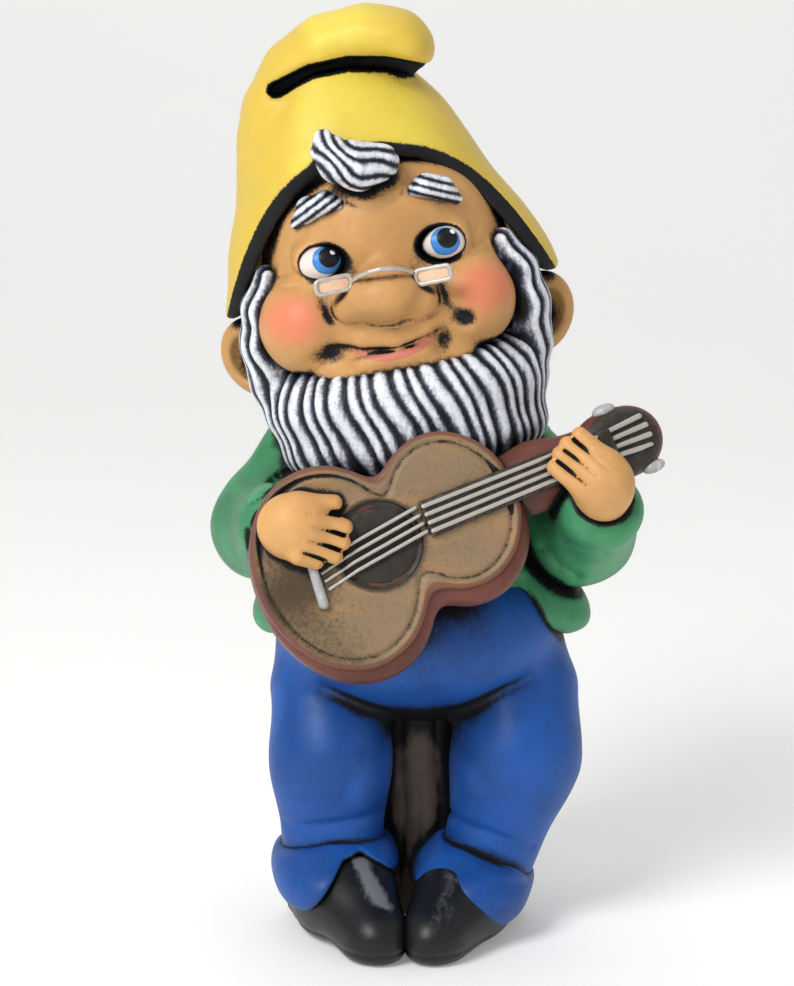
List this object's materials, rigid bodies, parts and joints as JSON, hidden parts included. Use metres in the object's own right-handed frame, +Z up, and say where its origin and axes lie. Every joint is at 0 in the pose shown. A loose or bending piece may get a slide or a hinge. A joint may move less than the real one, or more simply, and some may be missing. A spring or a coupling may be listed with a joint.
{
  "type": "garden gnome",
  "caption": "Ceramic garden gnome in a folded-peak cap and half spectacles, leaning its head to one side as it plays a guitar, standing in front of a tree stump.",
  "frame": {"origin": "on the floor, at the middle of the figure's plan outline", "axes": "+Z up, the gnome faces -Y, +X is the figure's left"},
  "size_m": [0.1146, 0.1012, 0.2391],
  "materials": {
    "hat_yellow": "hand-painted matt yellow with a dark wash in the folds",
    "skin": "hand-painted satin tan with a dark wash in the creases",
    "hair_white": "white dry-brushed over navy grooves",
    "eye_white": "satin off-white with painted blue iris",
    "silver": "painted silver, slightly metallic",
    "lens_pink": "painted pale pink",
    "jacket_green": "hand-painted matt green with a dark wash",
    "trouser_blue": "hand-painted satin blue with a dark wash",
    "shoe_black": "matt black with grey dry-brushing",
    "stump_brown": "grey-brown with dark streaks",
    "guitar_side": "red-brown satin",
    "guitar_top": "tan-brown with dark rubbed edges",
    "sound_hole": "near-black brown"
  },
  "bodies": {
    "root": {"hat": "hat_yellow", "head": "skin", "nose": "skin", "right_ear": "skin", "left_ear": "skin", "right_hand": "skin", "left_hand": "skin", "beard": "hair_white", "back_hair": "hair_white", "forelock": "hair_white", "right_eyebrow": "hair_white", "left_eyebrow": "hair_white", "right_eye": "eye_white", "left_eye": "eye_white", "right_lens_rim": "silver", "left_lens_rim": "silver", "spectacle_bow": "silver", "guitar_bridge": "silver", "string_1": "silver", "string_2": "silver", "string_3": "silver", "string_4": "silver", "upper_tuning_peg": "silver", "lower_tuning_peg": "silver", "right_lens": "lens_pink", "left_lens": "lens_pink", "jacket": "jacket_green", "right_sleeve": "jacket_green", "left_sleeve": "jacket_green", "trousers": "trouser_blue", "right_cuff": "trouser_blue", "left_cuff": "trouser_blue", "right_shoe": "shoe_black", "left_shoe": "shoe_black", "stump": "stump_brown", "guitar_body": "guitar_side", "guitar_neck": "guitar_side", "headstock": "guitar_side", "soundboard": "guitar_top", "sound_hole_disc": "sound_hole", "fretboard": "sound_hole"}
  },
  "joints": []
}
